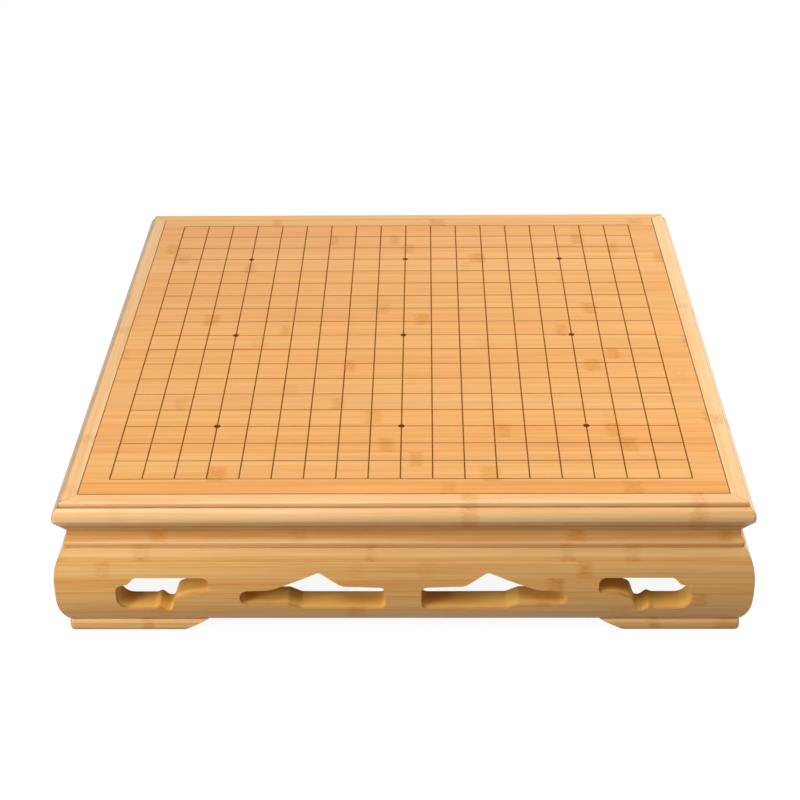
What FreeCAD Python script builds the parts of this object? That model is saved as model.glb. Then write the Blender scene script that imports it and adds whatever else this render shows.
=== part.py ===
import FreeCAD, Part
import math
import os
import re

import Sketcher

# A low go table in laminated bamboo. An engraved playing panel lies in a moulded frame
# with mitred corners. Under the frame come a recessed waist, bulged and pierced aprons
# and four bracket feet. Two stone drawers slide out, one to the left, one to the right.
#
# Millimetres. +X is right, +Y is the back and +Z is up. The origin is on the floor under
# the middle of the table. "The seam" is the line where the playing panel meets the frame:
# "out" is a distance outwards from it in plan, and "in" is a distance inwards.

GRID_LINES = 19
STAR_LINES = (3, 9, 15)
# screws of one batten, in steps from its middle
BATTEN_SCREWS = (-1, 0, 1)
# largest radii of the apron's swell, as shares of the radius of a plain arc over it
SHOULDER_LIMIT = 0.63
BELLY_LIMIT = 1.52
# how far a cutting outline runs past the wood, and how far a corner's rounding keeps off
# the outermost line, in millimetres
OVERCUT = "1"
GRAZE = "0.02"
# points nearer to each other than this are one point
TOLERANCE = 1e-6

SIZES = (
    ("board_height", 104.2, "floor to playing face"),
    ("seam_length_x", 438.0, "seam, left to right"),
    ("seam_length_y", 460.0, "seam, front to back"),
    ("panel_thickness", 12.0, "playing panel"),
    ("panel_gap", 0.5, "room for the panel to swell, each side"),
    ("grid_pitch_x", 22.0, "between the lines that run front to back"),
    ("grid_pitch_y", 23.7, "between the lines that run left to right"),
    ("grid_shift_x", -1.9, "grid's middle from the panel's middle, to the right"),
    ("grid_shift_y", 2.5, "grid's middle from the panel's middle, to the back"),
    ("line_width", 1.0, "engraved line"),
    ("line_depth", 0.4, "engraved line and star point"),
    ("star_radius", 2.4, "star point"),
    ("frame_height", 23.4, "frame, top face to underside"),
    ("ledge_width", 14.0, "ledge under the panel, in from the seam"),
    ("frame_flat", 10.8, "flat of the frame, out to the quirk"),
    ("frame_edge_radius", 1.2, "rounded outer edge of the flat"),
    ("seam_radius", 0.4, "eased inner edge of the flat"),
    ("quirk_depth", 3.4, "step down from the flat to the nose"),
    ("quirk_width", 1.0, "sunk line between the flat and the nose"),
    ("quirk_sink", 0.4, "sunk line under the nose's upper edge"),
    ("nose_out", 16.0, "outermost line of the frame"),
    ("nose_shoulder_drop", 4.0, "nose's upper slope, down"),
    ("nose_band", 4.8, "nose's upright face"),
    ("nose_shoulder_radius", 0.8, "start of the nose"),
    ("nose_upper_radius", 7.0, "nose above its outermost line"),
    ("nose_lower_radius", 2.0, "nose below its outermost line"),
    ("waist_height", 12.6, "waist between frame and apron"),
    ("waist_out", 7.9, "face of the waist"),
    ("waist_cove_radius", 4.0, "hollow between the waist's face and its bead"),
    ("lip_out", 11.2, "bead at the foot of the waist"),
    ("lip_height", 3.9, "bead at the foot of the waist"),
    ("lip_slope", 3.3, "run-out of the bead into the waist, up"),
    ("lip_radius", 1.0, "upper edge of the bead"),
    ("apron_edge_out", 11.7, "apron at its top and bottom edges"),
    ("apron_bulge", 7.5, "swell of the apron beyond its edges"),
    ("apron_edge_radius", 1.4, "eased edges of the apron"),
    ("apron_shoulder_radius", 35.0, "swell, above and below"),
    ("apron_belly_radius", 85.0, "swell, at the middle"),
    ("carcass_in", 3.5, "back faces of waist and apron"),
    ("corner_radius", 3.0, "rounded vertical corners of the table"),
    ("foot_height", 10.0, "floor to the apron's bottom edge"),
    ("foot_out", 12.7, "outer face of the foot"),
    ("foot_width", 22.0, "width of the foot's arms"),
    ("foot_arm_base", 65.4, "foot's arm along the floor, from the seam's corner"),
    ("foot_arm_top", 85.0, "foot's arm under the apron, from the seam's corner"),
    ("foot_top_radius", 3.2, "upper edge of the foot"),
    ("foot_base_radius", 2.8, "lower edge of the foot"),
    ("foot_corner_radius", 3.5, "rounded vertical corner of the foot"),
    ("pierce_rise", 12.0, "apron's bottom edge to the pierced openings"),
    ("scroll_end", 22.8, "seam's corner to the scroll opening"),
    ("scroll_length", 63.8, "scroll opening, along the apron"),
    ("scroll_height", 26.3, "scroll opening, up"),
    ("peak_start", 12.1, "apron's middle to the peaked opening"),
    ("peak_length", 99.7, "peaked opening, along the apron"),
    ("peak_height", 30.8, "peaked opening, up to the corner of its outline"),
    ("batten_width", 24.0, "batten under the panel"),
    ("batten_thickness", 12.0, "batten under the panel"),
    ("batten_spacing", 220.0, "between the two battens"),
    ("batten_screw_step", 180.0, "between the screws of one batten"),
    ("batten_screw_bite", 7.0, "screw's length in the panel"),
    ("screw_radius", 2.0, "shank of every screw"),
    ("screw_head_radius", 4.0, "head of every screw"),
    ("screw_head_height", 2.6, "head of every screw"),
    ("screw_room", 0.1, "hole round a screw, in radius"),
    ("corner_block_width", 16.0, "glue block in the corner"),
    ("corner_block_chamfer", 6.0, "glue block's bevelled inner edge"),
    ("opening_length", 226.0, "drawer's opening, along the side apron"),
    ("opening_rise", 5.7, "apron's bottom edge to the drawer's opening"),
    ("opening_drop", 7.5, "apron's top edge to the drawer's opening"),
    ("drawer_reveal", 0.8, "gap round the drawer's front"),
    ("drawer_stock", 8.0, "thickness of the drawer's boards"),
    ("drawer_side_room", 3.0, "drawer's side to the end of its opening"),
    ("drawer_under_room", 3.0, "under the drawer's box"),
    ("drawer_over_room", 4.0, "over the drawer's box"),
    ("bottom_thickness", 4.0, "drawer's bottom"),
    ("bottom_rise", 3.0, "under the drawer's bottom"),
    ("bottom_let_in", 3.0, "drawer's bottom in its grooves"),
    ("bottom_play", 0.2, "drawer's bottom in its grooves"),
    ("runner_height", 6.0, "runner strip"),
    ("runner_groove", 4.0, "groove in the drawer's side, deep"),
    ("runner_play", 0.3, "runner strip in its groove"),
    ("runner_lead", 1.0, "runner strip, back from the drawer's box front"),
    ("guide_room", 1.5, "drawer's side to its guide rail"),
    ("guide_thickness", 14.0, "guide rail"),
    ("divider_thickness", 12.0, "divider between the drawers"),
    ("divider_over", 5.0, "divider over the drawers' openings"),
    ("stop_gap", 0.3, "drawer to its stops"),
    ("drawer_hold", 51.2, "drawer's side left on the runners at the outer stop"),
    ("stop_bar_width", 12.0, "outer stop"),
    ("stop_bar_height", 8.0, "outer stop"),
    ("stop_bar_room", 0.8, "drawer's side to the outer stop"),
    ("back_rise", 3.5, "drawer's back over its sides"),
    ("front_screw_spacing", 140.0, "screws that hold the drawer's front"),
    ("front_screw_bite", 12.0, "screw's length in the drawer's front"),
    ("knob_seat_out", 17.9, "flat seat of the knob"),
    ("knob_seat_radius", 6.0, "flat seat of the knob"),
    ("knob_base_radius", 5.5, "knob"),
    ("knob_neck_radius", 4.0, "knob"),
    ("knob_head_radius", 8.2, "knob"),
    ("knob_length", 9.3, "knob"),
    ("knob_screw_bite", 5.5, "screw's length in the knob"),
)

DERIVED = (
    ("half_x", "seam_length_x / 2"),
    ("half_y", "seam_length_y / 2"),
    ("panel_base", "board_height - panel_thickness"),
    ("frame_base", "board_height - frame_height"),
    ("waist_base", "frame_base - waist_height"),
    ("apron_height", "waist_base - foot_height"),
    ("apron_out", "apron_edge_out + apron_bulge"),
    ("swell_radius", "apron_height ^ 2 / (8 * apron_bulge)"),
    ("shoulder_radius", "min(apron_shoulder_radius; %g * swell_radius)" % SHOULDER_LIMIT),
    ("belly_radius", "min(apron_belly_radius; %g * swell_radius)" % BELLY_LIMIT),
    ("nose_level", "board_height - quirk_depth - nose_shoulder_drop"),
    ("grid_length_x", "grid_pitch_x * %d" % (GRID_LINES - 1)),
    ("grid_length_y", "grid_pitch_y * %d" % (GRID_LINES - 1)),
    ("grid_left", "grid_shift_x - grid_length_x / 2"),
    ("grid_right", "grid_shift_x + grid_length_x / 2"),
    ("grid_front", "grid_shift_y - grid_length_y / 2"),
    ("grid_back", "grid_shift_y + grid_length_y / 2"),
    ("inner_x", "half_x - carcass_in"),
    ("inner_y", "half_y - carcass_in"),
    ("pierce_base", "foot_height + pierce_rise"),
    ("batten_base", "panel_base - batten_thickness"),
    ("opening_base", "foot_height + opening_rise"),
    ("opening_top", "waist_base - opening_drop"),
    ("knob_level", "(opening_base + opening_top) / 2"),
    ("box_base", "opening_base + drawer_under_room"),
    ("box_top", "opening_top - drawer_over_room"),
    ("box_half", "opening_length / 2 - drawer_side_room"),
    ("box_inner_half", "box_half - drawer_stock"),
    ("box_rear", "divider_thickness / 2 + stop_gap"),
    ("bottom_base", "box_base + bottom_rise"),
    ("guide_half", "box_half + guide_room"),
    ("runner_tip", "box_half - runner_groove + runner_play"),
    ("runner_base", "knob_level - runner_height / 2"),
    ("runner_top", "knob_level + runner_height / 2"),
    ("drawer_travel", "inner_x - drawer_stock - box_rear - drawer_hold"),
    ("stop_bar_x", "box_rear + drawer_stock + drawer_travel + stop_gap"),
    ("stop_bar_base", "box_top + stop_bar_room"),
    ("screw_hole_radius", "screw_radius + screw_room"),
)

# Outlines of the pierced openings: share of the length, share of the height, and the
# radius that rounds the corner as a share of the height.
SCROLL_OUTLINE = (
    (0.000, 0.770, 0.20),
    (0.000, 0.000, 0.36),
    (0.395, 0.000, 0.10),
    (0.450, 0.070, 0.08),
    (0.520, -0.085, 0.10),
    (0.580, -0.085, 0.10),
    (0.640, 0.355, 0.22),
    (0.800, 0.490, 0.60),
    (1.000, 0.540, 0.12),
    (1.000, 1.000, 0.20),
    (0.208, 1.000, 0.14),
    (0.128, 0.790, 0.14),
)
PEAK_OUTLINE = (
    (0.000, 0.600, 0.14),
    (0.300, 0.635, 0.30),
    (0.453, 0.985, 0.11),
    (0.610, 0.765, 0.80),
    (0.790, 0.535, 0.60),
    (1.000, 0.505, 0.17),
    (1.000, 0.130, 0.17),
    (0.668, 0.135, 0.16),
    (0.585, 0.005, 0.16),
    (0.000, 0.000, 0.14),
)

# ---------------------------------------------------------------- document and sheets

doc = FreeCAD.newDocument("go_table")
sizes = doc.addObject("Spreadsheet::Sheet", "sizes")
derived = doc.addObject("Spreadsheet::Sheet", "derived")
for row, (alias, size, note) in enumerate(SIZES, 1):
    sizes.set("A%d" % row, note)
    sizes.set("B%d" % row, "%g" % size)
    sizes.setAlias("B%d" % row, alias)
SHEET_OF = {alias: "sizes" for alias, _, _ in SIZES}
SHEET_OF.update({alias: "derived" for alias, _ in DERIVED})


def formula(text):
    """An expression in which each alias has its sheet's name in front."""
    return re.sub(
        r"[a-z_]{3,}(?!\()",
        lambda word: "%s.%s" % (SHEET_OF[word.group()], word.group()),
        text,
    )


for row, (alias, text) in enumerate(DERIVED, 1):
    derived.set("A%d" % row, alias.replace("_", " "))
    derived.set("B%d" % row, "=" + formula(text))
    derived.setAlias("B%d" % row, alias)
doc.recompute()


def number(text):
    """The value of an expression, in millimetres."""
    return float(sizes.evalExpression(formula(text)))


def bind(thing, path, text):
    """Bind a property to an expression of sheet values."""
    thing.setExpression(path, formula(text))


# ---------------------------------------------------------------- building blocks


def new_body(label):
    """One piece of the table."""
    body = doc.addObject("PartDesign::Body", label)
    body.Label = label
    return body


def origin_feature(body, role):
    """The body's own plane or axis of that role."""
    return [part for part in body.Origin.OriginFeatures if part.Role == role][0]


def put(body, turn, x="0", y="0", z="0"):
    """Place a body: turned about Z by an angle in degrees, then moved."""
    body.Placement.Rotation = FreeCAD.Rotation(FreeCAD.Vector(0, 0, 1), turn)
    for axis, text in zip("xyz", (x, y, z)):
        bind(body, "Placement.Base." + axis, text)


def new_sketch(body, plane, offset="0"):
    """A sketch on one of the body's planes, or at a distance from it."""
    sketch = body.newObject("Sketcher::SketchObject", body.Label + "_sketch")
    sketch.AttachmentSupport = [(origin_feature(body, plane), "")]
    sketch.MapMode = "FlatFace"
    bind(sketch, "AttachmentOffset.Base.z", offset)
    return sketch


def towards(start, end):
    """Unit vector from one point to another."""
    length = math.dist(start, end)
    return ((end[0] - start[0]) / length, (end[1] - start[1]) / length)


def rounded(corner, before, after, radius):
    """Arc that rounds a corner: its centre, its two ends and whether it turns left."""
    back = towards(corner, before)
    ahead = towards(corner, after)
    half = math.acos(back[0] * ahead[0] + back[1] * ahead[1]) / 2
    run = radius / math.tan(half)
    middle = towards((0, 0), (back[0] + ahead[0], back[1] + ahead[1]))
    reach = radius / math.sin(half)
    centre = (corner[0] + middle[0] * reach, corner[1] + middle[1] * reach)
    first = (corner[0] + back[0] * run, corner[1] + back[1] * run)
    last = (corner[0] + ahead[0] * run, corner[1] + ahead[1] * run)
    left = back[0] * ahead[1] - back[1] * ahead[0] < 0
    return centre, first, last, left


def angle_of(centre, point):
    """Direction of a point from a centre, in radians."""
    return math.atan2(point[1] - centre[1], point[0] - centre[0])


def draw(sketch, outline):
    """Draw a closed outline. Each corner is (x, y) or (x, y, radius), all expressions."""
    corners = [(number(corner[0]), number(corner[1])) for corner in outline]
    count = len(outline)
    arcs = {}
    for i, corner in enumerate(outline):
        if len(corner) == 3:
            radius = number(corner[2])
            after = corners[(i + 1) % count]
            arcs[i] = rounded(corners[i], corners[i - 1], after, radius) + (radius,)
    # the outline's own corners, as construction points held by the sheet
    points = sketch.addGeometry(
        [Part.Point(FreeCAD.Vector(x, y, 0)) for x, y in corners], True
    )
    fixed = []
    for (x, y), point in zip(corners, points):
        fixed.append(Sketcher.Constraint("DistanceX", -1, 1, point, 1, x))
        fixed.append(Sketcher.Constraint("DistanceY", -1, 1, point, 1, y))
    held = sketch.addConstraint(fixed)
    for i, corner in enumerate(outline):
        bind(sketch, "Constraints[%d]" % held[2 * i], corner[0])
        bind(sketch, "Constraints[%d]" % held[2 * i + 1], corner[1])
    # straight edges, from the end of one corner to the start of the next
    edges = []
    for i in range(count):
        following = (i + 1) % count
        start = arcs[i][2] if i in arcs else corners[i]
        end = arcs[following][1] if following in arcs else corners[following]
        edges.append(
            Part.LineSegment(FreeCAD.Vector(*start, 0), FreeCAD.Vector(*end, 0))
        )
    lines = sketch.addGeometry(edges, False)
    ties = []
    for i in range(count):
        following = (i + 1) % count
        for corner, line_end in ((i, 1), (following, 2)):
            if corner in arcs:
                ties.append(
                    Sketcher.Constraint("PointOnObject", points[corner], 1, lines[i])
                )
            else:
                ties.append(
                    Sketcher.Constraint(
                        "Coincident", points[corner], 1, lines[i], line_end
                    )
                )
    sketch.addConstraint(ties)
    # arcs that round the corners
    for i, (centre, first, last, left, radius) in arcs.items():
        start, end = (first, last) if left else (last, first)
        start_angle = angle_of(centre, start)
        end_angle = angle_of(centre, end)
        if end_angle < start_angle:
            end_angle += 2 * math.pi
        circle = Part.Circle(FreeCAD.Vector(*centre, 0), FreeCAD.Vector(0, 0, 1), radius)
        arc = sketch.addGeometry(Part.ArcOfCircle(circle, start_angle, end_angle), False)
        first_end, last_end = (1, 2) if left else (2, 1)
        made = sketch.addConstraint(
            [
                Sketcher.Constraint("Tangent", lines[i - 1], 2, arc, first_end),
                Sketcher.Constraint("Tangent", arc, last_end, lines[i], 1),
                Sketcher.Constraint("Radius", arc, radius),
            ]
        )
        bind(sketch, "Constraints[%d]" % made[2], outline[i][2])


def pad(body, sketch, length):
    """Extrude a sketch by a length, half to each side of its plane."""
    feature = body.newObject("PartDesign::Pad", body.Label + "_pad")
    feature.Profile = sketch
    feature.Midplane = True
    bind(feature, "Length", length)
    sketch.Visibility = False
    return feature


def pocket(body, sketch):
    """Cut a sketch right through the body, to both sides of its plane."""
    feature = body.newObject("PartDesign::Pocket", body.Label + "_pocket")
    feature.Profile = sketch
    feature.Midplane = True
    feature.Type = "ThroughAll"
    sketch.Visibility = False
    return feature


def mirror(body, originals, plane):
    """Repeat features on the other side of one of the body's planes."""
    feature = body.newObject("PartDesign::Mirrored", body.Label + "_mirror")
    feature.Originals = originals
    feature.MirrorPlane = (origin_feature(body, plane), [""])
    body.Tip = feature
    return feature


def row_of(body, original, axis, length, count):
    """Repeat a feature along one of the body's axes."""
    feature = body.newObject("PartDesign::LinearPattern", body.Label + "_row")
    feature.Originals = original
    feature.Direction = (origin_feature(body, axis), [""])
    feature.Occurrences = count
    bind(feature, "Length", length)
    body.Tip = feature
    return feature


def block(body, kind, low, high):
    """Add ("Additive") or cut ("Subtractive") a box between two corners."""
    box = body.newObject("PartDesign::%sBox" % kind, body.Label + "_box")
    for side, axis, start, end in zip(("Length", "Width", "Height"), "xyz", low, high):
        bind(box, side, "(%s) - (%s)" % (end, start))
        bind(box, "Placement.Base." + axis, start)
    return box


UP = FreeCAD.Rotation()
LEFTWARDS = FreeCAD.Rotation(FreeCAD.Vector(0, 1, 0), -90)
OUTWARDS = FreeCAD.Rotation(FreeCAD.Vector(1, 0, 0), 90)


def rod(body, kind, radius, length, start, direction):
    """Add or cut a cylinder from a start point in a direction."""
    cylinder = body.newObject("PartDesign::%sCylinder" % kind, body.Label + "_rod")
    bind(cylinder, "Radius", radius)
    bind(cylinder, "Height", length)
    cylinder.Placement.Rotation = direction
    for axis, text in zip("xyz", start):
        bind(cylinder, "Placement.Base." + axis, text)
    return cylinder


# ---------------------------------------------------------------- playing panel


def playing_board():
    """The panel: a grid of 19 by 19 engraved lines and nine star points."""
    body = new_body("playing_board")
    edge_x = "half_x - panel_gap"
    edge_y = "half_y - panel_gap"
    top = "board_height"
    block(
        body,
        "Additive",
        ("-(%s)" % edge_x, "-(%s)" % edge_y, "panel_base"),
        (edge_x, edge_y, top),
    )
    for x in (-1, 1):
        for y in BATTEN_SCREWS:
            rod(
                body,
                "Subtractive",
                "screw_hole_radius",
                "batten_screw_bite",
                (
                    "%d * batten_spacing / 2" % x,
                    "%d * batten_screw_step" % y,
                    "panel_base",
                ),
                UP,
            )
    floor = "board_height - line_depth"
    for i in STAR_LINES:
        for j in STAR_LINES:
            rod(
                body,
                "Subtractive",
                "star_radius",
                "line_depth",
                (
                    "grid_left + %d * grid_pitch_x" % i,
                    "grid_front + %d * grid_pitch_y" % j,
                    floor,
                ),
                UP,
            )
    across = block(
        body,
        "Subtractive",
        ("grid_left - line_width / 2", "grid_front - line_width / 2", floor),
        ("grid_left + line_width / 2", "grid_back + line_width / 2", top),
    )
    columns = row_of(body, [across], "X_Axis", "grid_length_x", GRID_LINES)
    along = block(
        body,
        "Subtractive",
        ("grid_left - line_width / 2", "grid_front - line_width / 2", floor),
        ("grid_right + line_width / 2", "grid_front + line_width / 2", top),
    )
    rows = row_of(body, [along], "Y_Axis", "grid_length_y", GRID_LINES)
    for feature in (across, columns, along, rows):
        feature.Refine = False


# ---------------------------------------------------------------- mitred rails
#
# A rail is built along X with its outer face towards -Y and the seam at y = 0, so in a
# section x is minus "out" and y is the height above the floor.

SIDES = (
    ("front", 0, "half_x", ("0", "-half_y")),
    ("right", 90, "half_y", ("half_x", "0")),
    ("back", 180, "half_x", ("0", "half_y")),
    ("left", 270, "half_y", ("-half_x", "0")),
)

FRAME_SECTION = (
    ("0", "board_height", "seam_radius"),
    ("-frame_flat", "board_height", "frame_edge_radius"),
    ("-frame_flat", "board_height - quirk_depth - quirk_sink"),
    (
        "-frame_flat - quirk_width",
        "board_height - quirk_depth",
        "nose_shoulder_radius",
    ),
    ("-nose_out", "nose_level", "nose_upper_radius"),
    ("-nose_out", "nose_level - nose_band", "nose_lower_radius"),
    ("-waist_out", "frame_base"),
    ("ledge_width", "frame_base"),
    ("ledge_width", "panel_base"),
    ("0", "panel_base"),
)

WAIST_SECTION = (
    ("carcass_in", "frame_base"),
    ("-waist_out", "frame_base"),
    ("-waist_out", "waist_base + lip_height + lip_slope", "waist_cove_radius"),
    ("-lip_out", "waist_base + lip_height", "lip_radius"),
    ("-lip_out", "waist_base", "seam_radius"),
    ("carcass_in", "waist_base"),
)

# The apron's swell: the height on the apron and the swell reached there, each as a share
# of the whole.
APRON_SECTION = (
    ("carcass_in", "waist_base"),
    ("-apron_edge_out", "waist_base", "apron_edge_radius"),
    (
        "-apron_edge_out - 0.66 * apron_bulge",
        "foot_height + 0.837 * apron_height",
        "shoulder_radius",
    ),
    ("-apron_out", "foot_height + 0.54 * apron_height", "belly_radius"),
    (
        "-apron_edge_out - 0.77 * apron_bulge",
        "foot_height + 0.155 * apron_height",
        "shoulder_radius",
    ),
    ("-apron_edge_out", "foot_height", "apron_edge_radius"),
    ("carcass_in", "foot_height"),
)


def mitred_rail(label, section, half, outermost, innermost):
    """A moulded rail, mitred through the seam's corners and rounded at its tips."""
    body = new_body(label)
    profile = new_sketch(body, "YZ_Plane")
    draw(profile, section)
    spare = "(%s) + corner_radius" % outermost
    pad(body, profile, "2 * (%s + %s)" % (half, spare))
    mitre = new_sketch(body, "XY_Plane")
    inside = "(%s) + corner_radius" % innermost
    beyond = "%s + %s + %s" % (half, spare, OVERCUT)
    draw(
        mitre,
        (
            ("%s - (%s)" % (half, inside), inside),
            (beyond, "-(%s) - %s" % (spare, OVERCUT)),
            (beyond, inside),
        ),
    )
    cuts = [pocket(body, mitre)]
    ease = new_sketch(body, "XY_Plane")
    tip = "%s + (%s)" % (half, outermost)
    face = "-(%s)" % outermost
    draw(
        ease,
        (
            ("%s - 2 * corner_radius" % tip, face),
            (tip, face, "corner_radius"),
            (tip, "%s + 2 * corner_radius" % face),
            ("%s + %s" % (tip, OVERCUT), "%s + 2 * corner_radius" % face),
            ("%s + %s" % (tip, OVERCUT), "%s - %s" % (face, OVERCUT)),
            ("%s - 2 * corner_radius" % tip, "%s - %s" % (face, OVERCUT)),
        ),
    )
    cuts.append(pocket(body, ease))
    mirror(body, cuts, "YZ_Plane")
    return body


def pierced(outline, start, along, base, height):
    """A pierced opening's outline, from shares of its size to expressions."""
    return [
        (
            "%s + (%g) * %s" % (start, share_x, along),
            "%s + (%g) * %s" % (base, share_y, height),
            "%g * %s" % (radius, height),
        )
        for share_x, share_y, radius in outline
    ]


def scroll_opening(half):
    """The scroll-shaped opening near the right-hand end of an apron."""
    return pierced(
        SCROLL_OUTLINE,
        "%s - scroll_end" % half,
        "(-scroll_length)",
        "pierce_base",
        "scroll_height",
    )


def peak_opening():
    """The peaked opening to the right of an apron's middle."""
    return pierced(
        PEAK_OUTLINE, "peak_start", "peak_length", "pierce_base", "peak_height"
    )


def top_frame():
    """Four moulded rails that hold the playing panel."""
    for side, turn, half, (x, y) in SIDES:
        outermost = "nose_out + " + GRAZE
        rail = mitred_rail(
            "top_frame_" + side, FRAME_SECTION, half, outermost, "ledge_width"
        )
        put(rail, turn, x, y)


def waist():
    """Four recessed boards between the frame and the aprons."""
    for side, turn, half, (x, y) in SIDES:
        outermost = "lip_out + " + GRAZE
        rail = mitred_rail("waist_" + side, WAIST_SECTION, half, outermost, "carcass_in")
        put(rail, turn, x, y)


def aprons():
    """Four bulged boards: pierced all along in front and behind, and at the sides pierced
    near the corners with a drawer's opening between."""
    for side, turn, half, (x, y) in SIDES:
        apron = mitred_rail(
            "apron_" + side, APRON_SECTION, half, "apron_out", "carcass_in"
        )
        openings = new_sketch(apron, "XZ_Plane")
        draw(openings, scroll_opening(half))
        if side in ("front", "back"):
            draw(openings, peak_opening())
        mirror(apron, [pocket(apron, openings)], "YZ_Plane")
        if side in ("left", "right"):
            doorway = new_sketch(apron, "XZ_Plane")
            draw(
                doorway,
                (
                    ("-opening_length / 2", "opening_base"),
                    ("opening_length / 2", "opening_base"),
                    ("opening_length / 2", "opening_top"),
                    ("-opening_length / 2", "opening_top"),
                ),
            )
            pocket(apron, doorway)
        put(apron, turn, x, y)


# ---------------------------------------------------------------- feet and corner blocks

CORNERS = (
    ("front_left", 0, "-1", "-1"),
    ("front_right", 90, "1", "-1"),
    ("back_right", 180, "1", "1"),
    ("back_left", 270, "-1", "1"),
)


def edges_at(body, level, outer):
    """Names of the body's edges at a height whose middle lies on an outer face."""
    names = []
    for i, edge in enumerate(body.Shape.Edges, 1):
        middle = edge.valueAt((edge.FirstParameter + edge.LastParameter) / 2)
        ends_level = all(abs(vertex.Point.z - level) < TOLERANCE for vertex in edge.Vertexes)
        on_face = min(abs(middle.x - outer), abs(middle.y - outer)) < TOLERANCE
        if ends_level and on_face:
            names.append("Edge%d" % i)
    return names


def feet():
    """Four bracket feet, each an L sawn from one board, with slanted ends."""
    for corner, turn, x, y in CORNERS:
        body = new_body("foot_" + corner)
        plan = new_sketch(body, "XY_Plane", "foot_height / 2")
        inner = "foot_width - foot_out"
        draw(
            plan,
            (
                ("-foot_out", "-foot_out", "foot_corner_radius"),
                ("foot_arm_top", "-foot_out"),
                ("foot_arm_top", inner),
                (inner, inner),
                (inner, "foot_arm_top"),
                ("-foot_out", "foot_arm_top"),
            ),
        )
        pad(body, plan, "foot_height")
        for plane in ("XZ_Plane", "YZ_Plane"):
            slant = new_sketch(body, plane)
            draw(
                slant,
                (
                    ("foot_arm_base", "0"),
                    ("foot_arm_top", "foot_height"),
                    ("foot_arm_top + foot_height", "foot_height"),
                    ("foot_arm_top + foot_height", "0"),
                ),
            )
            pocket(body, slant)
        doc.recompute()
        outer = -number("foot_out")
        for level, radius in (
            ("foot_height", "foot_top_radius"),
            ("0", "foot_base_radius"),
        ):
            uneased = body.Tip
            names = edges_at(body, number(level), outer)
            easing = body.newObject("PartDesign::Fillet", body.Label + "_easing")
            easing.Base = (uneased, names)
            bind(easing, "Radius", radius)
            doc.recompute()
        put(body, turn, "%s * half_x" % x, "%s * half_y" % y)


def corner_blocks():
    """Glue blocks in the corners, from the feet up to the frame's underside."""
    for corner, turn, x, y in CORNERS:
        body = new_body("corner_block_" + corner)
        plan = new_sketch(body, "XY_Plane", "(foot_height + frame_base) / 2")
        far = "carcass_in + corner_block_width"
        bevel = "%s - corner_block_chamfer" % far
        draw(
            plan,
            (
                ("carcass_in", "carcass_in"),
                (far, "carcass_in"),
                (far, bevel),
                (bevel, far),
                ("carcass_in", far),
            ),
        )
        pad(body, plan, "frame_base - foot_height")
        put(body, turn, "%s * half_x" % x, "%s * half_y" % y)


# ---------------------------------------------------------------- under the panel


def battens():
    """Two battens across the panel's grain, screwed up into it."""
    for name, x in (("left", -1), ("right", 1)):
        body = new_body("batten_" + name)
        block(
            body,
            "Additive",
            ("-batten_width / 2", "ledge_width - half_y", "batten_base"),
            ("batten_width / 2", "half_y - ledge_width", "panel_base"),
        )
        for y in BATTEN_SCREWS:
            place = ("0", "%d * batten_screw_step" % y, "batten_base")
            rod(
                body,
                "Subtractive",
                "screw_hole_radius",
                "batten_thickness",
                place,
                UP,
            )
            rod(
                body,
                "Subtractive",
                "screw_head_radius + screw_room",
                "screw_head_height + screw_room",
                place,
                UP,
            )
        put(body, 0, "%d * batten_spacing / 2" % x)


def batten_screws():
    """Six screws, three in each batten, heads let in flush."""
    body = new_body("batten_screws")
    for x in (-1, 1):
        for y in BATTEN_SCREWS:
            place = (
                "%d * batten_spacing / 2" % x,
                "%d * batten_screw_step" % y,
                "batten_base + screw_room",
            )
            rod(
                body,
                "Additive",
                "screw_radius",
                "batten_thickness + batten_screw_bite - 2 * screw_room",
                place,
                UP,
            )
            rod(body, "Additive", "screw_head_radius", "screw_head_height", place, UP)


def guide_rails():
    """Two rails from side to side that carry the runners, under the battens."""
    for name, turn in (("front", 0), ("back", 180)):
        body = new_body("guide_rail_" + name)
        block(
            body,
            "Additive",
            ("-inner_x", "-guide_half - guide_thickness", "opening_base"),
            ("inner_x", "-guide_half", "batten_base"),
        )
        put(body, turn)


def divider():
    """The board between the drawers, which stops them when they shut."""
    body = new_body("drawer_divider")
    block(
        body,
        "Additive",
        ("-divider_thickness / 2", "-guide_half", "opening_base"),
        ("divider_thickness / 2", "guide_half", "opening_top + divider_over"),
    )


# ---------------------------------------------------------------- drawers
#
# Each drawer is drawn as the left one, which opens towards -X. The right one is the same
# drawer turned half round. Turns are in degrees about Z.

HALF_TURN = 180
FRONT_TO_LEFT = 270
HANDS = (("left", 0), ("right", HALF_TURN))


def near_or_far(turn, sign):
    """Name of the side at y = sign * half a drawer once the drawer is turned."""
    at_front = (sign < 0) == (turn == 0)
    return "near" if at_front else "far"


def runners():
    """Runner strips on the guide rails, in the grooves of the drawers' sides."""
    for hand, turn in HANDS:
        for sign in (-1, 1):
            body = new_body("runner_%s_%s" % (hand, near_or_far(turn, sign)))
            inner, outer = ("runner_tip", "guide_half")
            low_y, high_y = (inner, outer) if sign > 0 else ("-" + outer, "-" + inner)
            block(
                body,
                "Additive",
                ("drawer_stock + runner_lead - inner_x", low_y, "runner_base"),
                ("-divider_thickness / 2", high_y, "runner_top"),
            )
            put(body, turn)


def stop_bars():
    """Bars between the guide rails that catch the drawers' raised backs."""
    for hand, turn in HANDS:
        body = new_body("stop_bar_" + hand)
        block(
            body,
            "Additive",
            ("-stop_bar_x - stop_bar_width", "-guide_half", "stop_bar_base"),
            ("-stop_bar_x", "guide_half", "stop_bar_base + stop_bar_height"),
        )
        put(body, turn)


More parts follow.
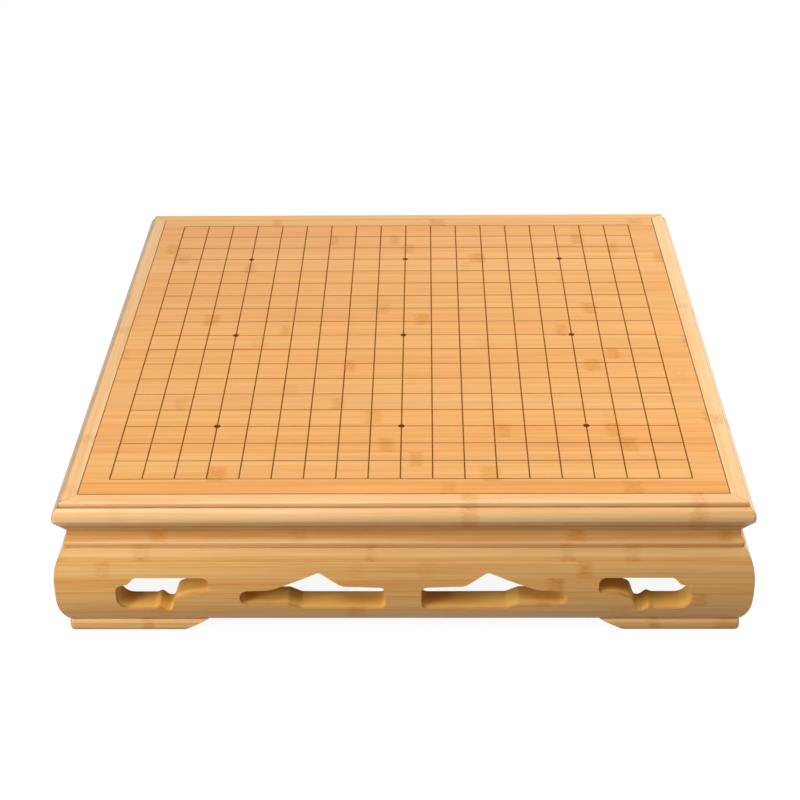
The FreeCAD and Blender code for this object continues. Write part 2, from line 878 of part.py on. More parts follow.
def drawer_fronts():
    """Drawer fronts cut from the same moulding as the side aprons."""
    for hand, turn in HANDS:
        body = new_body(hand + "_drawer_front")
        profile = new_sketch(body, "YZ_Plane")
        draw(profile, APRON_SECTION)
        pad(body, profile, "opening_length - 2 * drawer_reveal")
        for low, high in (
            ("foot_height - " + OVERCUT, "opening_base + drawer_reveal"),
            ("opening_top - drawer_reveal", "waist_base + " + OVERCUT),
        ):
            block(
                body,
                "Subtractive",
                ("-opening_length", "-apron_out - " + OVERCUT, low),
                ("opening_length", "carcass_in + " + OVERCUT, high),
            )
        rod(
            body,
            "Subtractive",
            "knob_seat_radius",
            "apron_out",
            ("0", "-knob_seat_out", "knob_level"),
            OUTWARDS,
        )
        rod(
            body,
            "Subtractive",
            "screw_hole_radius",
            "apron_out + carcass_in",
            ("0", "carcass_in", "knob_level"),
            OUTWARDS,
        )
        for sign in (-1, 1):
            rod(
                body,
                "Subtractive",
                "screw_hole_radius",
                "front_screw_bite + screw_room",
                ("%d * front_screw_spacing / 2" % sign, "carcass_in", "knob_level"),
                OUTWARDS,
            )
        x = "-half_x" if hand == "left" else "half_x"
        put(body, turn + FRONT_TO_LEFT, x, "0")


def drawer_box_fronts():
    """Inner fronts of the drawers' boxes, screwed to the drawer fronts."""
    for hand, turn in HANDS:
        body = new_body(hand + "_drawer_box_front")
        block(
            body,
            "Additive",
            ("-inner_x", "-box_half", "box_base"),
            ("drawer_stock - inner_x", "box_half", "box_top"),
        )
        block(
            body,
            "Subtractive",
            (
                "drawer_stock - bottom_let_in - inner_x",
                "-box_inner_half - bottom_let_in",
                "bottom_base",
            ),
            (
                "drawer_stock - inner_x",
                "box_inner_half + bottom_let_in",
                "bottom_base + bottom_thickness",
            ),
        )
        for spot in ("0", "-front_screw_spacing / 2", "front_screw_spacing / 2"):
            rod(
                body,
                "Subtractive",
                "screw_hole_radius",
                "drawer_stock",
                ("drawer_stock - inner_x", spot, "knob_level"),
                LEFTWARDS,
            )
        put(body, turn)


def drawer_sides():
    """Drawer sides, grooved outside for the runner and inside for the bottom."""
    for hand, turn in HANDS:
        for sign in (-1, 1):
            body = new_body("%s_drawer_%s_side" % (hand, near_or_far(turn, sign)))
            spans = {
                "board": ("box_inner_half", "box_half"),
                "runner": ("box_half - runner_groove", "box_half"),
                "bottom": ("box_inner_half", "box_inner_half + bottom_let_in"),
            }
            if sign < 0:
                spans = {
                    use: ("-(%s)" % far, "-(%s)" % near)
                    for use, (near, far) in spans.items()
                }
            front = "drawer_stock - inner_x"
            for kind, use, base, top in (
                ("Additive", "board", "box_base", "box_top"),
                (
                    "Subtractive",
                    "runner",
                    "runner_base - runner_play",
                    "runner_top + runner_play",
                ),
                (
                    "Subtractive",
                    "bottom",
                    "bottom_base",
                    "bottom_base + bottom_thickness",
                ),
            ):
                low_y, high_y = spans[use]
                block(body, kind, (front, low_y, base), ("-box_rear", high_y, top))
            put(body, turn)


def drawer_backs():
    """Drawer backs, higher than the sides so that they meet the stop bar."""
    for hand, turn in HANDS:
        body = new_body(hand + "_drawer_back")
        block(
            body,
            "Additive",
            ("-box_rear - drawer_stock", "-box_inner_half", "box_base"),
            ("-box_rear", "box_inner_half", "box_top + back_rise"),
        )
        block(
            body,
            "Subtractive",
            ("-box_rear - drawer_stock", "-box_inner_half", "bottom_base"),
            (
                "-box_rear - drawer_stock + bottom_let_in",
                "box_inner_half",
                "bottom_base + bottom_thickness",
            ),
        )
        put(body, turn)


def drawer_bottoms():
    """Drawer bottoms, loose in the grooves of front, sides and back."""
    for hand, turn in HANDS:
        body = new_body(hand + "_drawer_bottom")
        half = "box_inner_half + bottom_let_in - bottom_play"
        block(
            body,
            "Additive",
            (
                "drawer_stock - bottom_let_in + bottom_play - inner_x",
                "-(%s)" % half,
                "bottom_base",
            ),
            (
                "-box_rear - drawer_stock + bottom_let_in - bottom_play",
                half,
                "bottom_base + bottom_thickness",
            ),
        )
        put(body, turn)


def front_screws():
    """Two screws from inside each drawer into its front."""
    for hand, turn in HANDS:
        body = new_body(hand + "_drawer_front_screws")
        for sign in (-1, 1):
            place = "%d * front_screw_spacing / 2" % sign
            rod(
                body,
                "Additive",
                "screw_radius",
                "drawer_stock + front_screw_bite",
                ("drawer_stock - inner_x", place, "knob_level"),
                LEFTWARDS,
            )
            rod(
                body,
                "Additive",
                "screw_head_radius",
                "screw_head_height",
                ("drawer_stock - inner_x + screw_head_height", place, "knob_level"),
                LEFTWARDS,
            )
        put(body, turn)


KNOB_SECTION = (
    ("0", "0"),
    ("knob_length", "0"),
    ("knob_length", "0.75 * knob_head_radius", "0.25 * knob_length"),
    ("0.55 * knob_length", "knob_head_radius", "0.2 * knob_length"),
    ("0.25 * knob_length", "knob_neck_radius", "0.1 * knob_length"),
    ("0.15 * knob_length", "knob_base_radius"),
    ("0", "knob_base_radius"),
)


def knobs():
    """Small turned knobs on the flat seats of the drawer fronts."""
    for hand, turn in HANDS:
        body = new_body(hand + "_drawer_knob")
        section = new_sketch(body, "XZ_Plane")
        draw(section, KNOB_SECTION)
        turned = body.newObject("PartDesign::Revolution", body.Label + "_turning")
        turned.Profile = section
        turned.ReferenceAxis = (origin_feature(body, "X_Axis"), [""])
        turned.Angle = 360
        section.Visibility = False
        rod(
            body,
            "Subtractive",
            "screw_hole_radius",
            "knob_screw_bite + screw_room",
            ("knob_screw_bite + screw_room", "0", "0"),
            LEFTWARDS,
        )
        sign = "-" if hand == "left" else ""
        seat = "%s(half_x + knob_seat_out)" % sign
        put(body, turn + HALF_TURN, seat, "0", "knob_level")


def knob_screws():
    """One screw through each drawer's front into its knob."""
    for hand, turn in HANDS:
        body = new_body(hand + "_drawer_knob_screw")
        start = "drawer_stock - inner_x"
        rod(
            body,
            "Additive",
            "screw_radius",
            "drawer_stock + carcass_in + knob_seat_out + knob_screw_bite",
            (start, "0", "knob_level"),
            LEFTWARDS,
        )
        rod(
            body,
            "Additive",
            "screw_head_radius",
            "screw_head_height",
            (start + " + screw_head_height", "0", "knob_level"),
            LEFTWARDS,
        )
        put(body, turn)


# ---------------------------------------------------------------- build, check and write

playing_board()
top_frame()
waist()
aprons()
feet()
corner_blocks()
battens()
batten_screws()
guide_rails()
divider()
runners()
stop_bars()
drawer_fronts()
drawer_box_fronts()
drawer_sides()
drawer_backs()
drawer_bottoms()
front_screws()
knobs()
knob_screws()
doc.recompute()

for thing in doc.Objects:
    if "Invalid" in thing.State or "Error" in thing.State:
        raise RuntimeError("%s did not build: %s" % (thing.Label, thing.State))
pieces = [thing for thing in doc.Objects if thing.TypeId == "PartDesign::Body"]
for piece in pieces:
    if piece.Shape.isNull() or not piece.Shape.isValid():
        raise RuntimeError("%s has no valid shape" % piece.Label)

os.makedirs("parts", exist_ok=True)
for piece in pieces:
    piece.Shape.exportStep("parts/%s.step" % piece.Label)
print("%d pieces written" % len(pieces))
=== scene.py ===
import math

import bpy
from mathutils import Matrix, Vector


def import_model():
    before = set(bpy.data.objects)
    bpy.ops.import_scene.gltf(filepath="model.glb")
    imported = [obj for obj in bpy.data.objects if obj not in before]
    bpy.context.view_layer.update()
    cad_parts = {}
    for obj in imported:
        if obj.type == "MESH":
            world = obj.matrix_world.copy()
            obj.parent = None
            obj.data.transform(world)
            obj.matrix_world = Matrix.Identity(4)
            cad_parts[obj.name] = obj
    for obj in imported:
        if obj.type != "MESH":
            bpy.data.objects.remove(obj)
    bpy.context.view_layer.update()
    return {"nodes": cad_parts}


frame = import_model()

# A bamboo go table, dressed. Everything is in metres, in the frame of the solids: the
# origin is on the floor under the table's middle, +X is right, +Y is back, +Z is up.

MM = 0.001

# ---------------------------------------------------------------- node trees


class Shader:
    """The node tree of a material or a world, with short calls for the nodes used here."""

    def __init__(self, owner):
        self.owner = owner
        owner.use_nodes = True
        self.tree = owner.node_tree
        self.tree.nodes.clear()

    def node(self, kind, inputs=(), **settings):
        """Add a node. inputs maps a socket's name or number to a value or a socket."""
        made = self.tree.nodes.new(kind)
        for key, value in settings.items():
            setattr(made, key, value)
        for key, value in dict(inputs).items():
            if isinstance(value, bpy.types.NodeSocket):
                self.tree.links.new(value, made.inputs[key])
            else:
                made.inputs[key].default_value = value
        return made

    def math(self, operation, *values):
        """One arithmetic step on numbers or sockets."""
        made = self.node("ShaderNodeMath", dict(enumerate(values)), operation=operation)
        return made.outputs[0]

    def inverse(self, value):
        """1 where the value is 0, and 0 where it is 1."""
        return self.math("SUBTRACT", 1.0, value)

    def pick(self, factor, first, second):
        """First number where the factor is 0, second where it is 1."""
        return self.node("ShaderNodeMix", {0: factor, 2: first, 3: second}).outputs[0]

    def blend(self, factor, first, second):
        """First colour where the factor is 0, second where it is 1."""
        mixed = {0: factor, 6: first, 7: second}
        return self.node("ShaderNodeMix", mixed, data_type="RGBA").outputs[2]

    def ramp(self, value, low, high):
        """0 below low, 1 above high and smooth between."""
        made = self.node(
            "ShaderNodeMapRange",
            {0: value, 1: low, 2: high, 3: 0.0, 4: 1.0},
            interpolation_type="SMOOTHSTEP",
        )
        return made.outputs[0]

    def band(self, value, low, high, soft):
        """1 between two limits, with soft ends."""
        rise = self.ramp(value, low - soft, low)
        return self.math("MULTIPLY", rise, self.inverse(self.ramp(value, high, high + soft)))

    def noise(self, vector, scale=1.0, detail=2.0, roughness=0.5):
        """Fractal noise from 0 to 1."""
        inputs = {"Vector": vector, "Scale": scale, "Detail": detail, "Roughness": roughness}
        return self.node("ShaderNodeTexNoise", inputs).outputs[0]

    def vector(self, x, y, z):
        """A vector from three numbers or sockets."""
        return self.node("ShaderNodeCombineXYZ", {0: x, 1: y, 2: z}).outputs[0]


def srgb(red, green, blue):
    """A linear colour from display values of 0 to 255."""

    def linear(value):
        value = value / 255
        return value / 12.92 if value <= 0.04045 else ((value + 0.055) / 1.055) ** 2.4

    return (linear(red), linear(green), linear(blue), 1.0)


# ---------------------------------------------------------------- bamboo

# colours of the bamboo, pale and deep
PANEL_TONES = (srgb(250, 193, 117), srgb(229, 158, 84))
FRAME_TONES = (srgb(255, 221, 164), srgb(243, 190, 126))
CARCASS_TONES = (srgb(252, 202, 128), srgb(218, 154, 80))
INNER_TONES = (srgb(244, 200, 134), srgb(222, 166, 100))
KNUCKLE = srgb(214, 134, 16)
HEART = srgb(168, 98, 16)
# colours of what is on it, and colours that paint light and shade on it
UMBER = srgb(146, 84, 12)
INK = srgb(142, 78, 4)
STAR_INK = srgb(98, 32, 2)
CUT_FACE_AND_LIGHT = srgb(255, 206, 104)
RUBBED = srgb(255, 228, 178)
HIGHLIGHT_PAINT = srgb(255, 222, 166)
LEFT_RAIL_SHADE = srgb(222, 160, 90)
LEFT_EDGE_SHADE = srgb(172, 128, 60)
BACK_RAIL_GOLD = srgb(244, 175, 85)

# the table's faces: the playing face, and the seam round the panel
TOP = 104.2 * MM
SEAM_X = 219.0 * MM
SEAM_Y = 230.0 * MM

# a strip's width, the space that holds one knuckle, and length and width of streaks
STRIP = 19.5 * MM
KNUCKLE_STEP = 160.0 * MM
FIBRE = (110.0 * MM, 1.7 * MM)
FLAME = (260.0 * MM, 6.0 * MM)
CLOUD = (90.0 * MM, 30.0 * MM)
FRAY = (30.0 * MM, 1.6 * MM)
MOTTLE = (4.0 * MM, 2.2 * MM)
GLUE = (150.0 * MM, 15.0 * MM)
WEAR = (45.0 * MM, 20.0 * MM)
DREGS = (30.0 * MM, 10.0 * MM)
INK_WEAR = (12.0 * MM, 12.0 * MM)

# what each layer of the figure adds to the deep tone
TONE_SHARE = 0.24
FIBRE_SHARE = 0.44
FLAME_SHARE = 0.34
CLOUD_SHARE = 0.12
# how strongly knuckles, their hearts and the glue lines are coloured
KNUCKLE_SHARE = 0.50
HEART_SHARE = 0.20
GLUE_SHARE = 0.30


class Bamboo(Shader):
    """Laminated bamboo under satin varnish. Strips run along one direction, side by side
    in another, each with a tone, fibres and knuckles of its own. Boards that lie round
    the table run along its sides, and there "out" is the way away from its middle."""

    def __init__(self, name, tones, along, across, seed, strip=STRIP, apart=KNUCKLE_STEP):
        super().__init__(bpy.data.materials.new(name))
        self.pale, self.deep = tones
        place = self.node("ShaderNodeTexCoord").outputs["Object"]
        axes = self.node("ShaderNodeSeparateXYZ", {0: place}).outputs
        self.place = {"X": axes[0], "Y": axes[1], "Z": axes[2]}
        # how far a point lies outside the seam, and to which side
        self.out_x = self.math("SUBTRACT", self.math("ABSOLUTE", axes[0]), SEAM_X)
        self.out_y = self.math("SUBTRACT", self.math("ABSOLUTE", axes[1]), SEAM_Y)
        self.out = self.math("MAXIMUM", self.out_x, self.out_y)
        if along == "round":
            # four boards round the table, each with strips of its own
            front = self.math("GREATER_THAN", self.out_y, self.out_x)
            self.run = self.pick(front, axes[1], axes[0])
            beyond = self.pick(front, axes[0], axes[1])
            quarter = self.math("ADD", front, self.math("GREATER_THAN", beyond, 0.0))
            quarter = self.math("ADD", quarter, front)
            self.side = axes[2] if across == "Z" else self.out
            self.depth = self.out if across == "Z" else axes[2]
        else:
            quarter = 0.0
            self.run = self.place[along]
            self.side = self.place[across]
            self.depth = self.place[({"X", "Y", "Z"} - {along, across}).pop()]
        self.figure(quarter, seed, strip, apart)

    def chance(self, *numbers):
        """A random number from 0 to 1, fixed by up to three numbers. The last of them
        tells the draws for one strip or knuckle apart."""
        cell = self.vector(*(tuple(numbers) + (0.0, 0.0))[:3])
        return self.node("ShaderNodeTexWhiteNoise", {"Vector": cell}).outputs[0]

    def streaks(self, along, size, detail=3.0, roughness=0.55):
        """Noise drawn out along the grain, in streaks of a length and a width."""
        length, width = size
        stretched = self.vector(
            self.math("DIVIDE", along, length),
            self.math("DIVIDE", self.side, width),
            self.math("DIVIDE", self.depth, width),
        )
        return self.noise(stretched, 1.0, detail, roughness)

    def figure(self, quarter, seed, strip, apart):
        """The strips, and what each shows."""
        # strips are numbered from a start of their own in each board, and bend a little
        start = self.math("MULTIPLY_ADD", quarter, 11.0, 10.0 + seed)
        bend = self.noise(self.vector(self.math("MULTIPLY", self.run, 2.0), start, 0.0))
        bent = self.math("MULTIPLY_ADD", self.math("SUBTRACT", bend, 0.5), MM, self.side)
        lane = self.math("ADD", self.math("DIVIDE", bent, strip), start)
        index = self.math("FLOOR", lane)
        inside = self.math("FRACT", lane)
        self.tone = self.chance(index, 1.0)
        self.tint = self.chance(index, 2.0)
        offset = self.chance(index, 3.0)
        shifted = self.math("MULTIPLY_ADD", offset, 3.0, self.run)
        self.fine = self.streaks(shifted, FIBRE, 3.0, 0.65)
        self.broad = self.streaks(shifted, FLAME, 3.0, 0.5)
        self.cloud = self.streaks(shifted, CLOUD, 2.0, 0.5)
        self.knuckles(index, offset, apart)
        # joints between the strips, seen only here and there
        border = self.math("ABSOLUTE", self.math("SUBTRACT", inside, 0.5))
        seen = self.ramp(self.streaks(shifted, GLUE, 1.0), 0.45, 0.65)
        self.glue = self.math("MULTIPLY", self.ramp(border, 0.475, 0.5), seen)

    def knuckles(self, index, offset, apart):
        """One knuckle to a cell of each strip, of frayed outline and mottled."""
        step = self.math("MULTIPLY_ADD", offset, 5.0, self.math("DIVIDE", self.run, apart))
        cell = self.math("FLOOR", step)
        spot = self.math("MULTIPLY_ADD", self.chance(index, cell, 4.0), 0.8, 0.1)
        away = self.math("ABSOLUTE", self.math("SUBTRACT", self.math("FRACT", step), spot))
        away = self.math("MULTIPLY", away, apart)
        frayed = self.math("SUBTRACT", self.streaks(self.run, FRAY, 3.0, 0.6), 0.5)
        ragged = self.math("MULTIPLY_ADD", frayed, 12.0 * MM, away)
        reach = self.math("MULTIPLY_ADD", self.chance(index, cell, 6.0), 3.0 * MM, 4.0 * MM)
        halo = self.ramp(self.math("SUBTRACT", reach, ragged), -2.0 * MM, 3.0 * MM)
        strength = self.ramp(self.chance(index, cell, 5.0), 0.0, 0.8)
        halo = self.math("MULTIPLY", halo, strength)
        mottle = self.streaks(self.run, MOTTLE, 3.0, 0.6)
        cloudy = self.math("MULTIPLY_ADD", self.ramp(mottle, 0.3, 0.7), 0.5, 0.5)
        self.knuckle = self.math("MULTIPLY", halo, cloudy)
        self.heart = self.math("MULTIPLY", halo, self.ramp(mottle, 0.52, 0.72))

    def colour(self, grain=1.0, contrast=1.0):
        """Colour of the varnished bamboo. Fibres and knuckles can be faint or bold."""
        mixed = self.math("MULTIPLY", self.tone, TONE_SHARE)
        for part, share in ((self.fine, FIBRE_SHARE), (self.broad, FLAME_SHARE)):
            part = self.ramp(part, 0.34, 0.68)
            mixed = self.math("MULTIPLY_ADD", part, share * grain, mixed)
        mixed = self.math("MULTIPLY_ADD", self.cloud, CLOUD_SHARE, mixed)
        plain = self.blend(mixed, self.pale, self.deep)
        rosy = {"Hue": 0.4935, "Saturation": 1.06, "Fac": self.tint, "Color": plain}
        found = self.node("ShaderNodeHueSaturation", rosy).outputs[0]
        for part, share, shade in (
            (self.knuckle, KNUCKLE_SHARE, KNUCKLE),
            (self.heart, HEART_SHARE, HEART),
            (self.glue, GLUE_SHARE, HEART),
        ):
            found = self.blend(self.math("MULTIPLY", part, share * contrast), found, shade)
        return found

    def varnish_and_shade(self, colour, hollow, amount):
        """Varnish, and painted shade, gathered in a hollow."""
        uneven = self.ramp(self.streaks(self.run, DREGS, 2.0), 0.25, 0.7)
        share = self.math("MULTIPLY", hollow, self.math("MULTIPLY_ADD", uneven, 0.3, 0.7))
        return self.blend(self.math("MULTIPLY", share, amount), colour, UMBER)

    def mitre(self, colour):
        """A thin joint where two boards meet at a corner."""
        apart = self.math("ABSOLUTE", self.math("SUBTRACT", self.out_x, self.out_y))
        joint = self.inverse(self.ramp(apart, 0.15 * MM, 0.70 * MM))
        return self.blend(self.math("MULTIPLY", joint, 0.38), colour, UMBER)

    def finish(self, colour, rough, coat, matt=None):
        """Varnish over the colour. Fibres show in the sheen, and matt parts have none."""
        sheen = self.math("MULTIPLY_ADD", self.fine, 0.10, rough - 0.05)
        sheen = self.math("MULTIPLY_ADD", self.knuckle, 0.05, sheen)
        if matt is not None:
            sheen = self.math("MULTIPLY_ADD", matt, 0.5, sheen)
        relief = self.math("MULTIPLY", self.fine, 0.5)
        relief = self.math("MULTIPLY_ADD", self.glue, -0.6, relief)
        relief = self.math("MULTIPLY_ADD", self.heart, -0.1, relief)
        depth = {"Height": relief, "Strength": 0.3, "Distance": 0.06 * MM}
        bump = self.node("ShaderNodeBump", depth)
        surface = self.node(
            "ShaderNodeBsdfPrincipled",
            {
                "Base Color": colour,
                "Roughness": sheen,
                "Normal": bump.outputs[0],
                "Specular IOR Level": 0.22,
                "Coat Weight": coat,
                "Coat Roughness": 0.2,
            },
        )
        self.node("ShaderNodeOutputMaterial", {0: surface.outputs[0]})
        return self.owner


# ---------------------------------------------------------------- finishes

# the panel: depth of its grooves, its grid and its star points
GROOVE = 0.4 * MM
LINE_HALF = 0.55 * MM
PITCH_X = 22.0 * MM
PITCH_Y = 23.7 * MM
GRID_MIDDLE_X = -1.9 * MM
GRID_MIDDLE_Y = 2.5 * MM
STAR_STEP = 6
STAR_REACH = 2.5 * MM

# the frame: its sunk line, the edge beside that line, and the level of its underside
QUIRK = (10.8 * MM, 11.8 * MM)
QUIRK_FLOOR = (TOP - 3.4 * MM, TOP - 2.2 * MM)
RUBBED_EDGE = (9.2 * MM, 10.9 * MM)
OUTER_EDGE = (8.4 * MM, 9.8 * MM)
NOSE_UNDERSIDE = (TOP - 20.0 * MM, TOP - 13.0 * MM)

# the carcass: levels, and how far out the boards' faces begin
FACES_BEGIN = (14.6 * MM, 16.0 * MM)
OPENINGS = (19.0 * MM, 54.0 * MM)
WAIST = (70.0 * MM, 82.0 * MM)
SOLE = (0.5 * MM, 4.5 * MM)
# joints between boards: level and reach
JOINTS = ((80.8 * MM, 1.4 * MM), (10.0 * MM, 0.8 * MM))
# painted highlights on the lip's edge, the apron's upper part and the foot's top edge: lowest
# and highest level, and how softly they end
PAINTED_HIGHLIGHTS = (
    (71.2 * MM, 72.4 * MM, 0.8 * MM),
    (64.0 * MM, 67.0 * MM, 2.0 * MM),
    (7.4 * MM, 8.8 * MM, 0.8 * MM),
)
CARCASS_STRIP = 12.0 * MM
CARCASS_KNUCKLE_STEP = 110.0 * MM


def from_lines(s, axis, middle, pitch):
    """Distance along an axis to the nearest of a row of evenly spaced lines."""
    steps = s.math("DIVIDE", s.math("SUBTRACT", s.place[axis], middle), pitch)
    # 10.5 keeps the number above 0, and puts the lines halfway between whole numbers
    near = s.math("SUBTRACT", s.math("FRACT", s.math("ADD", steps, 10.5)), 0.5)
    return s.math("MULTIPLY", near, pitch)


def panel():
    """The playing panel: inked grooves, and a dark line round its edge."""
    s = Bamboo("panel_bamboo", PANEL_TONES, "X", "Y", seed=1.0)
    colour = s.colour(grain=0.9, contrast=1.2)
    # grooves are known by their depth
    under = s.math("SUBTRACT", TOP, s.place["Z"])
    below = s.ramp(under, 0.2 * GROOVE, 0.45 * GROOVE)
    above = s.inverse(s.ramp(under, 1.6 * GROOVE, 2.0 * GROOVE))
    groove = s.math("MULTIPLY", below, above)
    worn = s.ramp(s.streaks(s.run, INK_WEAR, 3.0), 0.2, 0.55)
    # lines that run left to right are inked more thinly
    off = from_lines(s, "X", GRID_MIDDLE_X, PITCH_X)
    lengthwise = s.math("LESS_THAN", s.math("ABSOLUTE", off), LINE_HALF)
    strength = s.math("MULTIPLY_ADD", worn, 0.20, 0.58)
    strength = s.math("MULTIPLY_ADD", lengthwise, 0.22, strength)
    colour = s.blend(s.math("MULTIPLY", groove, strength), colour, INK)
    # star points lie every six lines, counted from the grid's middle
    across = from_lines(s, "X", GRID_MIDDLE_X, STAR_STEP * PITCH_X)
    ahead = from_lines(s, "Y", GRID_MIDDLE_Y, STAR_STEP * PITCH_Y)
    square = s.math("MULTIPLY_ADD", across, across, s.math("MULTIPLY", ahead, ahead))
    star = s.math("SUBTRACT", STAR_REACH, s.math("SQRT", square))
    star = s.math("MULTIPLY", s.ramp(star, 0.0, 0.25 * MM), above)
    colour = s.blend(star, colour, STAR_INK)
    # varnish, dust and painted shade darken the edge along the seam
    edge = s.ramp(s.out, -1.5 * MM, -0.5 * MM)
    colour = s.blend(s.math("MULTIPLY", edge, 0.25), colour, UMBER)
    dull = s.math("MAXIMUM", groove, star)
    return s.finish(colour, rough=0.36, coat=0.12, matt=dull)


def frame_wood():
    """The moulded frame: painted shade in its sunk line, at its seam, under its nose and on
    its left rail, and paler where hands rub its edges.
    """
    s = Bamboo("frame_bamboo", FRAME_TONES, "round", "out", seed=2.0)
    colour = s.colour(grain=1.0, contrast=0.7)
    level = s.place["Z"]
    # the left rail is painted darker, as painted shade on the side away from the lamps, and
    # its outer edge darker still as painted shade; the back rail is coloured a deeper gold
    beside = s.math("GREATER_THAN", s.out_x, s.out_y)
    left = s.math("MULTIPLY", beside, s.math("LESS_THAN", s.place["X"], 0.0))
    outer = s.math("MULTIPLY", left, s.ramp(s.out, *OUTER_EDGE))
    back = s.math("SUBTRACT", s.math("GREATER_THAN", s.place["Y"], 0.0), beside)
    back = s.math("MAXIMUM", back, 0.0)
    for part, share, shade in (
        (left, 0.18, LEFT_RAIL_SHADE),
        (outer, 0.7, LEFT_EDGE_SHADE),
        (back, 0.7, BACK_RAIL_GOLD),
    ):
        colour = s.blend(s.math("MULTIPLY", part, share), colour, shade)
    colour = s.mitre(colour)
    # painted shade, with some gathered varnish, darkens the sunk line, the seam and the
    # underside of the nose
    low = s.inverse(s.ramp(level, *QUIRK_FLOOR))
    quirk = s.math("MULTIPLY", s.band(s.out, *QUIRK, 0.4 * MM), low)
    seam = s.inverse(s.ramp(s.out, 0.15 * MM, 0.7 * MM))
    under = s.inverse(s.ramp(level, *NOSE_UNDERSIDE))
    for hollow, amount in ((quirk, 0.55), (seam, 0.2), (under, 0.22)):
        colour = s.varnish_and_shade(colour, hollow, amount)
    # the edge beside the sunk line is rubbed pale in places
    edge = s.band(s.out, *RUBBED_EDGE, 0.8 * MM)
    edge = s.math("MULTIPLY", edge, s.ramp(level, TOP - 2.0 * MM, TOP))
    patchy = s.ramp(s.streaks(s.run, WEAR, 3.0), 0.42, 0.68)
    worn = s.math("MULTIPLY", s.math("MULTIPLY", edge, patchy), 0.30)
    return s.finish(s.blend(worn, colour, RUBBED), rough=0.32, coat=0.2)


def carcass_wood(name, pierced):
    """Waist, aprons, drawer fronts and feet. A pierced board shows fresh cuts inside, painted
    paler, partly as painted light in the shade of the openings.
    """
    s = Bamboo(
        name,
        CARCASS_TONES,
        "round",
        "Z",
        seed=4.0,
        strip=CARCASS_STRIP,
        apart=CARCASS_KNUCKLE_STEP,
    )
    colour = s.mitre(s.colour(grain=0.85, contrast=1.1))
    level = s.place["Z"]
    opening_faces = None
    if pierced:
        # the faces inside the openings: fresh-cut colour, and painted light that lifts their
        # shade
        opening_faces = s.inverse(s.ramp(s.out, *FACES_BEGIN))
        opening_faces = s.math("MULTIPLY", opening_faces, s.band(level, *OPENINGS, 1.0 * MM))
        colour = s.blend(s.math("MULTIPLY", opening_faces, 0.8), colour, CUT_FACE_AND_LIGHT)
    # painted shade darkens the waist, under the frame's nose
    waist = s.band(level, *WAIST, 4.0 * MM)
    colour = s.blend(s.math("MULTIPLY", waist, 0.12), colour, UMBER)
    for height, reach in JOINTS:
        near = s.math("ABSOLUTE", s.math("SUBTRACT", level, height))
        colour = s.varnish_and_shade(colour, s.inverse(s.ramp(near, 0.2 * MM, reach)), 0.4)
    # painted highlights on edges that face the lamps
    for edge in PAINTED_HIGHLIGHTS:
        pale = s.band(level, *edge)
        colour = s.blend(s.math("MULTIPLY", pale, 0.35), colour, HIGHLIGHT_PAINT)
    # painted shade along the foot's lower edge, near the floor
    colour = s.varnish_and_shade(colour, s.inverse(s.ramp(level, *SOLE)), 0.6)
    return s.finish(colour, rough=0.33, coat=0.15, matt=opening_faces)


def inner_wood(name, along, across, seed):
    """Plain bamboo inside, thinly varnished."""
    s = Bamboo(name, INNER_TONES, along, across, seed)
    return s.finish(s.colour(grain=0.9, contrast=0.8), rough=0.5, coat=0.05)


def steel():
    """Zinc-plated screws with brushed heads."""
    s = Shader(bpy.data.materials.new("screw_steel"))
    place = s.node("ShaderNodeTexCoord").outputs["Object"]
    mottle = s.noise(place, 900.0, 3.0, 0.6)
    surface = s.node(
        "ShaderNodeBsdfPrincipled",
        {
            "Base Color": s.blend(mottle, srgb(196, 196, 192), srgb(150, 150, 148)),
            "Metallic": 1.0,
            "Roughness": s.math("MULTIPLY_ADD", mottle, 0.25, 0.25),
        },
    )
    s.node("ShaderNodeOutputMaterial", {0: surface.outputs[0]})
    return s.owner


PANEL = panel()
FRAME = frame_wood()
CARCASS = carcass_wood("carcass_bamboo", True)
DRAWER_FRONT = carcass_wood("front_bamboo", False)
BOARD_X = inner_wood("inner_bamboo_x", "X", "Z", seed=5.0)
BOARD_Y = inner_wood("inner_bamboo_y", "Y", "Z", seed=6.0)
FLAT_Y = inner_wood("bottom_bamboo", "Y", "X", seed=7.0)
POST = inner_wood("post_bamboo", "Z", "X", seed=8.0)
STEEL = steel()

# the first rule that fits a solid's name gives its finish
FINISHES = (
    ("screw", STEEL),
    ("playing_board", PANEL),
    ("top_frame", FRAME),
    ("drawer_front", DRAWER_FRONT),
    ("apron", CARCASS),
    ("waist", CARCASS),
    ("foot", CARCASS),
    ("corner_block", POST),
    ("batten", FLAT_Y),
    ("bottom", FLAT_Y),
    ("side", BOARD_X),
    ("runner", BOARD_X),
    ("guide", BOARD_X),
    ("knob", BOARD_X),
    ("", BOARD_Y),
)
for name, piece in frame["nodes"].items():
    finish = next(finish for part, finish in FINISHES if part in name)
    piece.data.materials.clear()
    piece.data.materials.append(finish)

# ---------------------------------------------------------------- stage

FLOOR_REACH = 30.0
FLOOR_GLOW = 0.92
FLOOR_GREY = (0.18, 0.18, 0.18, 1.0)
WHITE = (1.0, 1.0, 1.0, 1.0)
SKY = 0.25

# place, size and power of each lamp
LAMPS = {
    "overhead": ((1.0, 0.2, 1.15), 1.0, 13.0),
    "front": ((-0.4, -1.1, 1.9), 0.8, 15.5),
    "left": ((-0.85, -0.85, 0.42), 0.40, 5.2),
}
LAMP_AIM = Vector((0.0, 0.0, 0.05))


def lit(shader):
    """1 for rays that show the surroundings to the eye, directly, in a gloss or through
    glass, and 0 for light that falls on the table."""
    path = shader.node("ShaderNodeLightPath").outputs
    gloss = shader.math("MAXIMUM", path["Is Camera Ray"], path["Is Glossy Ray"])
    return shader.math("MAXIMUM", gloss, path["Is Transmission Ray"])


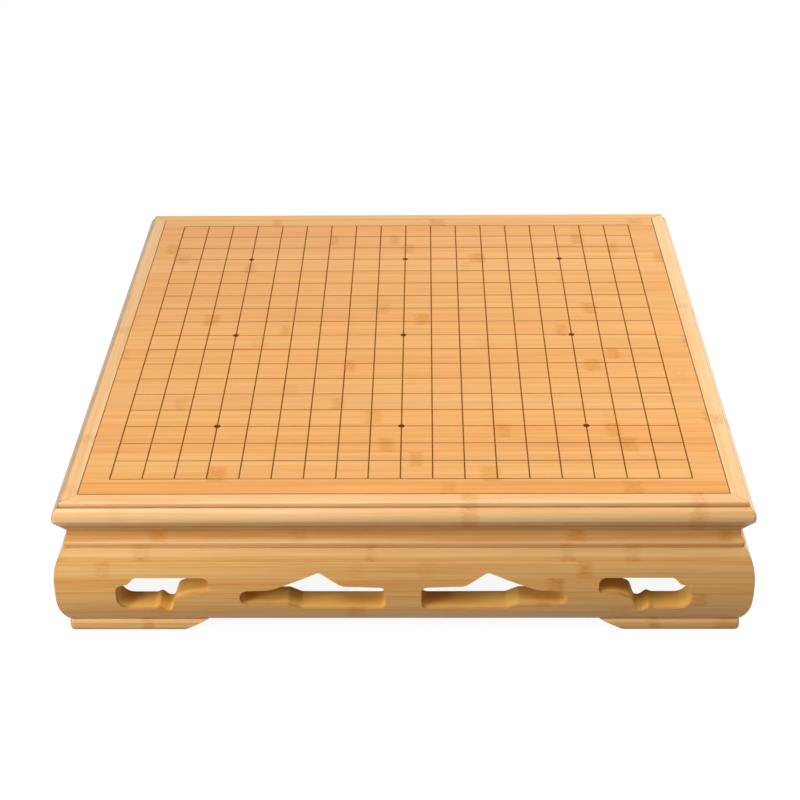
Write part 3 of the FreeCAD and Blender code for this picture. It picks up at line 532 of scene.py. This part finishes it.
def floor():
    """A pale floor that shows white and keeps a faint shadow of the table."""
    mesh = bpy.data.meshes.new("floor")
    corners = [
        (x * FLOOR_REACH, y * FLOOR_REACH, 0) for x, y in ((-1, -1), (1, -1), (1, 1), (-1, 1))
    ]
    mesh.from_pydata(corners, [], [(0, 1, 2, 3)])
    plane = bpy.data.objects.new("floor", mesh)
    bpy.context.scene.collection.objects.link(plane)
    s = Shader(bpy.data.materials.new("floor"))
    matt = s.node("ShaderNodeBsdfDiffuse", {"Color": FLOOR_GREY})
    glow = s.node("ShaderNodeEmission", {"Strength": s.math("MULTIPLY", lit(s), FLOOR_GLOW)})
    both = s.node("ShaderNodeAddShader", {0: matt.outputs[0], 1: glow.outputs[0]})
    s.node("ShaderNodeOutputMaterial", {0: both.outputs[0]})
    mesh.materials.append(s.owner)


def world():
    """Even white surroundings, plainer as a light than to the eye."""
    s = Shader(bpy.data.worlds.new("studio"))
    strength = s.math("MULTIPLY_ADD", lit(s), 1.0 - SKY, SKY)
    back = s.node("ShaderNodeBackground", {"Color": WHITE, "Strength": strength})
    s.node("ShaderNodeOutputWorld", {0: back.outputs[0]})
    bpy.context.scene.world = s.owner


def lamp(name, place, size, power):
    """A soft square lamp aimed at the table."""
    light = bpy.data.lights.new(name, "AREA")
    light.shape = "SQUARE"
    light.size = size
    light.energy = power
    holder = bpy.data.objects.new(name, light)
    holder.location = place
    aim = LAMP_AIM - Vector(place)
    holder.rotation_euler = aim.to_track_quat("-Z", "Y").to_euler()
    bpy.context.scene.collection.objects.link(holder)


# the camera, solved from the grid's crossings: its focal length is in pixels of an 800
# pixel square image, and its angles are in radians
FOCAL = 1725.29
IMAGE = 800
SENSOR = 36.0
EYE = Vector((0.01578, -1.2055, 0.7258))
YAW = -0.01739
PITCH = 0.51291
ROLL = -0.0110


def camera():
    """The viewing angle of a buyer who stands in front of the table."""
    flat = Vector((math.sin(YAW), math.cos(YAW), 0.0))
    ahead = math.cos(PITCH) * flat - Vector((0.0, 0.0, math.sin(PITCH)))
    level = Vector((math.cos(YAW), -math.sin(YAW), 0.0))
    above = level.cross(ahead)
    right = math.cos(ROLL) * level + math.sin(ROLL) * above
    up = -math.sin(ROLL) * level + math.cos(ROLL) * above
    data = bpy.data.cameras.new("camera")
    data.sensor_width = SENSOR
    data.lens = FOCAL * SENSOR / IMAGE
    holder = bpy.data.objects.new("camera", data)
    turn = Matrix((right, up, -ahead)).transposed()
    holder.matrix_world = Matrix.Translation(EYE) @ turn.to_4x4()
    bpy.context.scene.collection.objects.link(holder)
    bpy.context.scene.camera = holder


floor()
world()
for name, (place, size, power) in LAMPS.items():
    lamp(name, place, size, power)
camera()
bpy.context.scene.view_settings.view_transform = "Standard"
